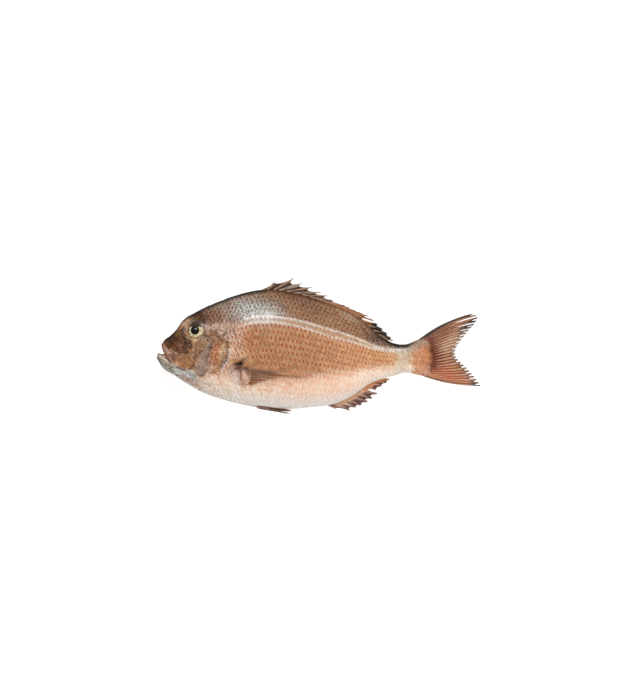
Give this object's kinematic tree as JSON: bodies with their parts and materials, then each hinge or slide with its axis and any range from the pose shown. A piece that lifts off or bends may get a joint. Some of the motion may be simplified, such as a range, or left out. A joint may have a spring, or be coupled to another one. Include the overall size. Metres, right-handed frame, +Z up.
{
  "type": "whole raw fish",
  "caption": "Whole raw sea bream lying on its right side: deep scaled body, open mouth, gill covers, eyes, spiny dorsal fin, paired fins and forked tail.",
  "frame": {"origin": "on the table, under the middle of the fish's outline", "axes": "+X from snout to tail, +Y from belly to back, +Z up from the table, through the fish from its right side to its left"},
  "size_m": [0.36, 0.1496, 0.0513],
  "materials": {
    "skin": "wet scaled fish skin, satin",
    "eye": "wet cornea over a pale iris, glossy",
    "dark_fin": "thin dark fin skin over spines and rays",
    "pale_fin": "thin brown fin skin over soft rays",
    "tail_skin": "thin orange fin skin over soft rays"
  },
  "bodies": {
    "root": {"body": "skin", "eye_left": "eye", "eye_right": "eye", "dorsal_fin": "dark_fin", "anal_fin": "dark_fin", "pelvic_fin_left": "dark_fin", "pelvic_fin_right": "dark_fin", "pectoral_fin_left": "pale_fin", "pectoral_fin_right": "pale_fin", "tail_fin": "tail_skin"}
  },
  "joints": []
}
